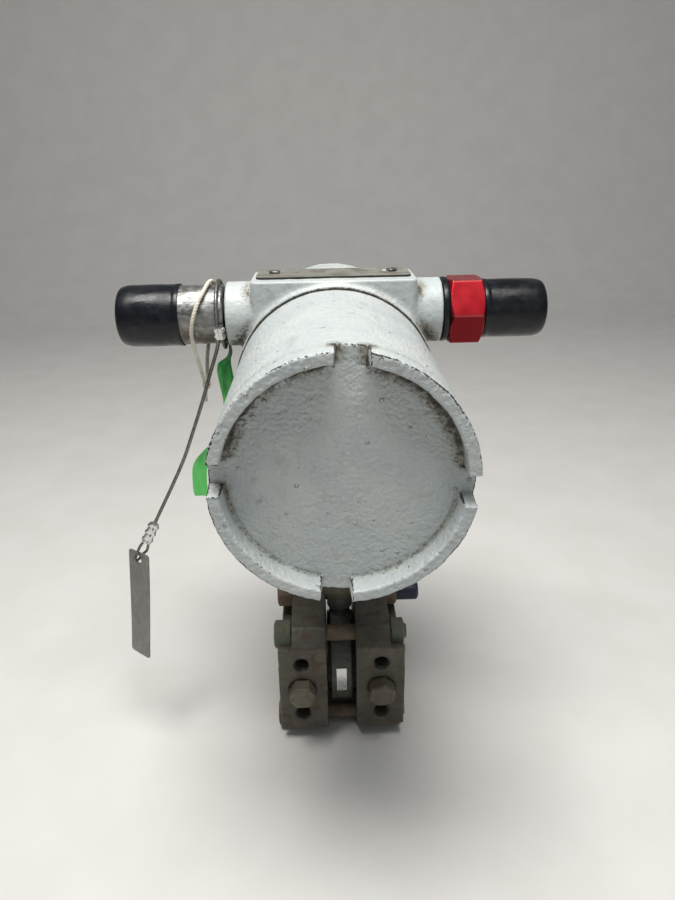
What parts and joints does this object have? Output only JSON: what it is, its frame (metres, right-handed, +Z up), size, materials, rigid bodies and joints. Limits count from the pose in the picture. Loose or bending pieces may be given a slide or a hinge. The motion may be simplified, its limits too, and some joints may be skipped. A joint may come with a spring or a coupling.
{
  "type": "differential pressure transmitter",
  "caption": "Round two-cover instrument housing on a neck above a measuring cell clamped between two process flanges, with capped conduit fittings and a wired metal tag.",
  "frame": {"origin": "bottom centre of the object without its tag, wire and string, on the surface that the flanges stand on", "axes": "+Z up along the neck, -Y out of the long blind cover, +X towards the red adapter"},
  "size_m": [0.2712, 0.23, 0.3193],
  "materials": {
    "painted_casting": "worn light grey enamel on a cast housing",
    "process_steel": "weathered dark steel with rust",
    "stainless": "dull stainless steel",
    "zinc_plate": "mottled zinc plating",
    "brass": "plain brass",
    "red_anodised": "satin red anodising",
    "black_rubber": "smooth black rubber",
    "navy_plastic": "dull navy plastic",
    "green_plastic": "bright green plastic strip",
    "circuit_board": "coated circuit board",
    "dark_moulding": "dark moulded plastic",
    "cotton": "cream cotton string"
  },
  "bodies": {
    "sensor": {"cell_body": "process_steel", "neck_tube": "process_steel", "neck_locknut": "process_steel", "left_flange": "process_steel", "right_flange": "process_steel", "flange_bolt_1": "process_steel", "flange_bolt_2": "process_steel", "flange_bolt_3": "process_steel", "flange_bolt_4": "process_steel", "flange_nut_1": "process_steel", "flange_nut_2": "process_steel", "flange_nut_3": "process_steel", "flange_nut_4": "process_steel", "left_port_plug": "process_steel", "right_port_plug": "process_steel", "left_diaphragm": "stainless", "right_diaphragm": "stainless", "cell_label": "stainless", "neck_seal": "black_rubber", "bolt_sleeve": "navy_plastic", "left_gasket": "dark_moulding", "right_gasket": "dark_moulding"},
    "front_seal_ring": {"front_seal": "black_rubber"},
    "front_cover": {"front_cover": "painted_casting"},
    "rear_seal_ring": {"rear_seal": "black_rubber"},
    "rear_cover": {"rear_cover": "painted_casting"},
    "nameplate": {"nameplate": "stainless"},
    "zero_screw": {"zero_screw": "brass"},
    "span_screw": {"span_screw": "brass"},
    "left_cap": {"left_cap": "black_rubber"},
    "right_cap": {"right_cap": "black_rubber"},
    "wire": {"tag_wire": "stainless", "wire_crimp": "zinc_plate", "tag_ferrule": "zinc_plate", "tag_eye": "stainless"},
    "tag": {"tag": "stainless"},
    "housing": {"housing": "painted_casting", "plate_pivot_screw": "zinc_plate", "plate_clamp_screw": "zinc_plate", "left_coupling": "zinc_plate", "terminal_screw_1": "zinc_plate", "terminal_screw_2": "zinc_plate", "terminal_screw_3": "zinc_plate", "terminal_screw_4": "zinc_plate", "earth_screw": "zinc_plate", "neck_lock_screw": "zinc_plate", "red_adapter": "red_anodised", "right_washer": "black_rubber", "green_strip": "green_plastic", "amplifier_board": "circuit_board", "power_board": "circuit_board", "board_post_1": "dark_moulding", "board_post_2": "dark_moulding", "board_post_3": "dark_moulding", "terminal_block": "dark_moulding", "feedthrough": "dark_moulding", "sensor_lead": "dark_moulding", "tag_string": "cotton", "string_knot": "cotton"}
  },
  "joints": [
    {"name": "housing_swivel", "type": "hinge", "parent": "sensor", "child": "housing", "pos_m": [0, 0.042, 0.18], "axis": [0, 0, 1], "range_deg": [-90, 90]},
    {"name": "front_cover_travel", "type": "slide", "parent": "housing", "child": "front_seal_ring", "axis": [0, -1, 0], "range_m": [0, 0.0149]},
    {"name": "front_cover_turn", "type": "hinge", "parent": "front_seal_ring", "child": "front_cover", "pos_m": [0, 0, 0.2555], "axis": [0, -1, 0], "range_deg": [0, 2520]},
    {"name": "rear_cover_travel", "type": "slide", "parent": "housing", "child": "rear_seal_ring", "axis": [0, 1, 0], "range_m": [0, 0.0149]},
    {"name": "rear_cover_turn", "type": "hinge", "parent": "rear_seal_ring", "child": "rear_cover", "pos_m": [0, 0, 0.2555], "axis": [0, 1, 0], "range_deg": [0, 2520]},
    {"name": "nameplate_swing", "type": "hinge", "parent": "housing", "child": "nameplate", "pos_m": [-0.034, 0.0415, 0.3168], "axis": [0, 0, -1], "range_deg": [0, 90]},
    {"name": "zero_turn", "type": "hinge", "parent": "housing", "child": "zero_screw", "pos_m": [-0.014, 0.0415, 0.304], "axis": [0, 0, 1], "continuous": true},
    {"name": "span_turn", "type": "hinge", "parent": "housing", "child": "span_screw", "pos_m": [0.014, 0.0415, 0.304], "axis": [0, 0, 1], "continuous": true},
    {"name": "left_cap_pull", "type": "slide", "parent": "housing", "child": "left_cap", "axis": [-1, 0, 0], "range_m": [0, 0.03]},
    {"name": "right_cap_pull", "type": "slide", "parent": "housing", "child": "right_cap", "axis": [1, 0, 0], "range_m": [0, 0.03]},
    {"name": "wire_swing", "type": "hinge", "parent": "housing", "child": "wire", "pos_m": [-0.066, 0.038, 0.2955], "axis": [-1, 0, 0], "range_deg": [0, 45]},
    {"name": "tag_swing", "type": "hinge", "parent": "wire", "child": "tag", "pos_m": [-0.1312, 0.022, 0.1393], "axis": [0.5961, 0.791, -0.1381], "range_deg": [-12, 12]}
  ],
  "couplings": [
    {"joint": "front_cover_travel", "follows": "front_cover_turn", "m_per_rad": 0.00033693},
    {"joint": "rear_cover_travel", "follows": "rear_cover_turn", "m_per_rad": 0.00033693}
  ]
}
